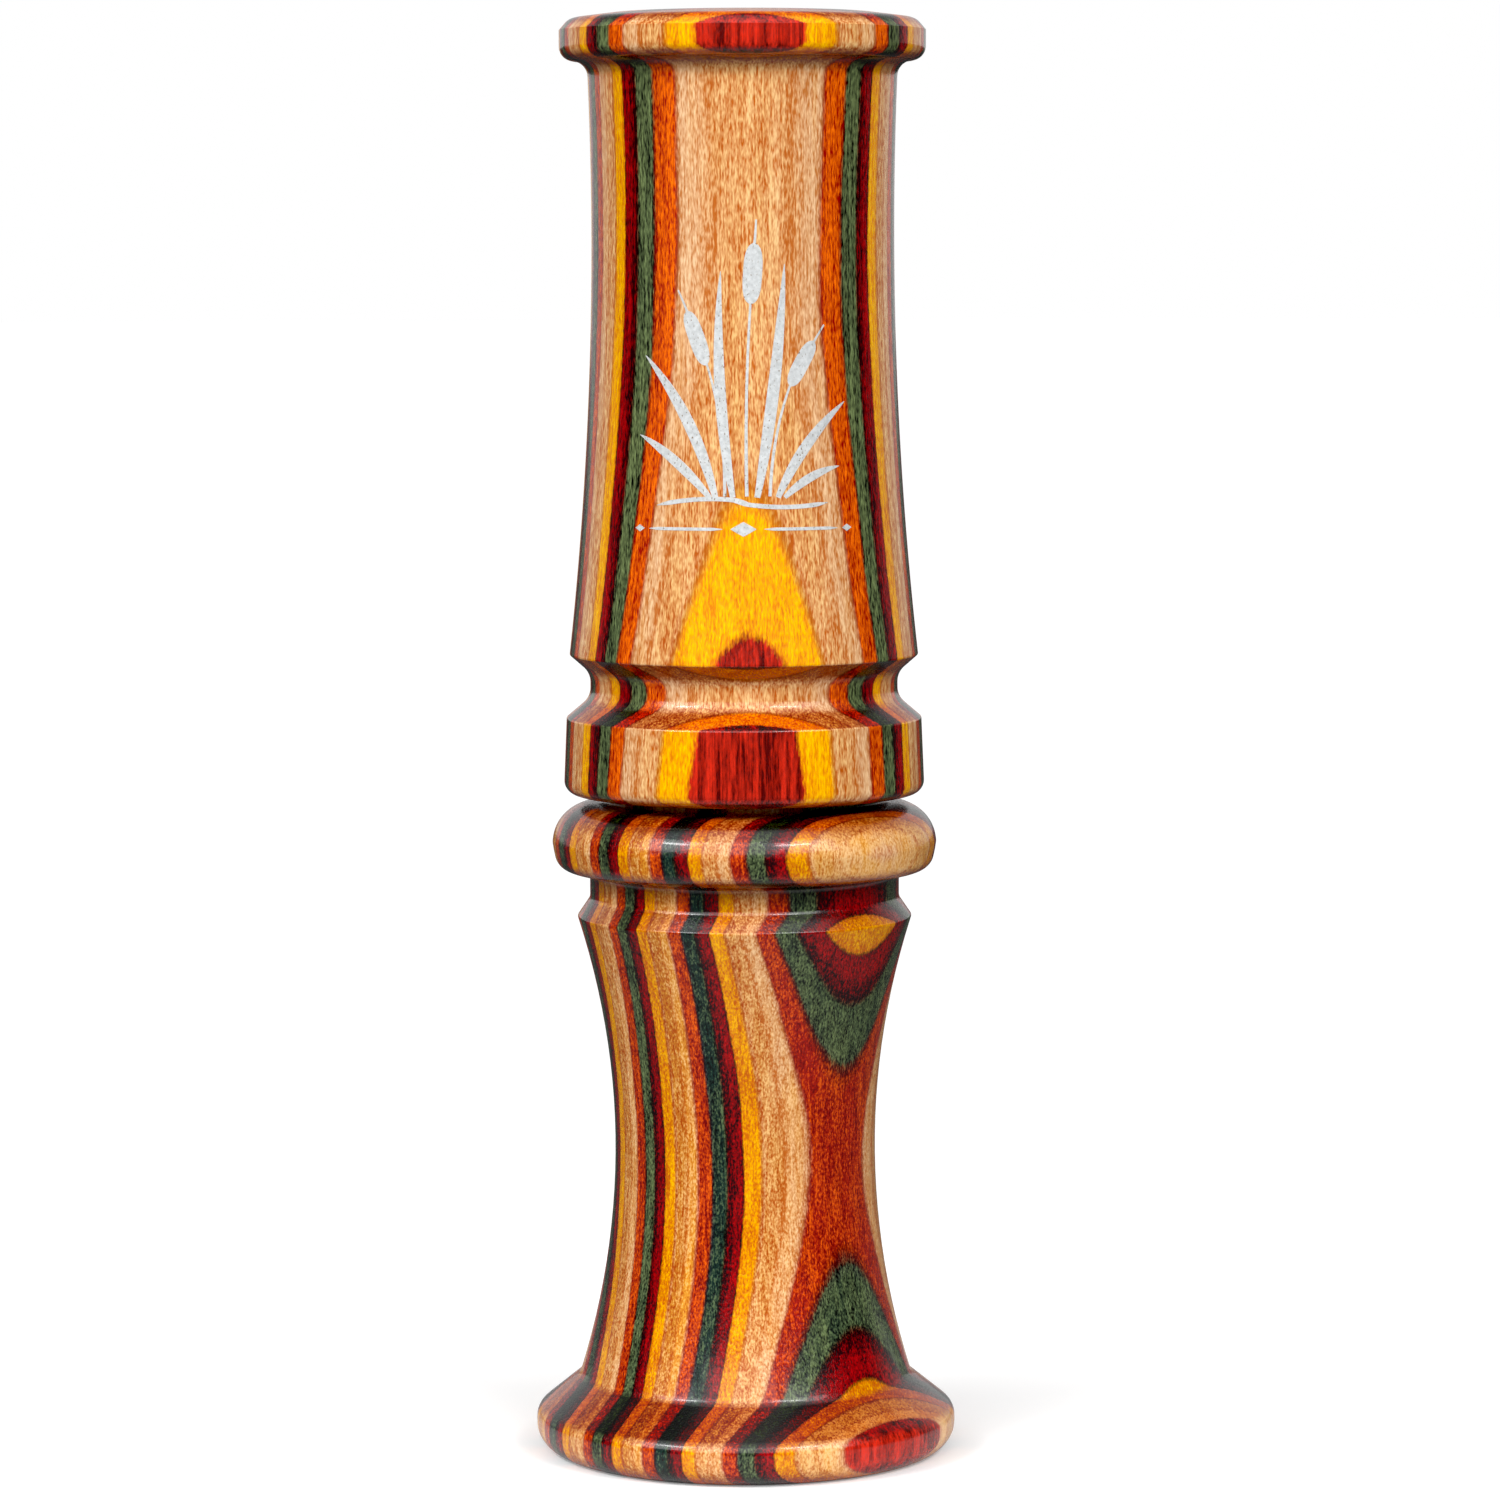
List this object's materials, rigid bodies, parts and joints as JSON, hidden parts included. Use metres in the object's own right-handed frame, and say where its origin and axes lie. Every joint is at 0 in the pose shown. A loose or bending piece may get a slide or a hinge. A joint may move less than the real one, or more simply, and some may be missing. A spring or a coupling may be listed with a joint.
{
  "type": "duck call",
  "caption": "Turned laminated-wood duck call: a waisted barrel with a flanged mouth on an insert with a bead, neck and flared bell, and reeds on a tone board inside.",
  "frame": {"origin": "centre of the bell's rim, on the surface that the call stands on", "axes": "+Z along the turned axis towards the mouth; the reeds face -Y, and the plies of the barrel are seen face on from -Y"},
  "size_m": [0.0372, 0.0372, 0.127],
  "materials": {
    "barrel_wood": "lacquered laminate of dyed plies, satin to gloss",
    "insert_wood": "lacquered laminate of dyed plies, satin to gloss",
    "board_plastic": "machined acrylic",
    "reed_film": "polyester film",
    "cork": "natural cork",
    "seal_rubber": "nitrile rubber"
  },
  "bodies": {
    "insert_body": {"insert": "insert_wood", "tone_board": "board_plastic", "reed_wedge": "cork"},
    "seals": {"tenon_ring_upper": "seal_rubber", "tenon_ring_lower": "seal_rubber"},
    "barrel_body": {"barrel": "barrel_wood"},
    "lower_reed_body": {"lower_reed": "reed_film"},
    "upper_reed_body": {"upper_reed": "reed_film"}
  },
  "joints": [
    {"name": "barrel_turn", "type": "hinge", "parent": "insert_body", "child": "seals", "pos_m": [0, 0, 0.0586], "axis": [0, 0, 1], "continuous": true},
    {"name": "barrel_pull", "type": "slide", "parent": "seals", "child": "barrel_body", "axis": [0, 0, 1], "range_m": [0, 0.062]},
    {"name": "lower_reed_flex", "type": "hinge", "parent": "insert_body", "child": "lower_reed_body", "pos_m": [0, -0.0012, 0.08335], "axis": [1, 0, 0], "range_deg": [-2.3, 1.5], "stiffness_Nm_per_rad": 0.0058, "deforming": ["lower_reed"]},
    {"name": "upper_reed_flex", "type": "hinge", "parent": "insert_body", "child": "upper_reed_body", "pos_m": [0, -0.00156, 0.08335], "axis": [1, 0, 0], "range_deg": [-2.3, 1.5], "stiffness_Nm_per_rad": 0.0019, "deforming": ["upper_reed"]}
  ],
  "couplings": [
    {"joint": "upper_reed_flex", "follows": "lower_reed_flex", "ratio": 1}
  ]
}
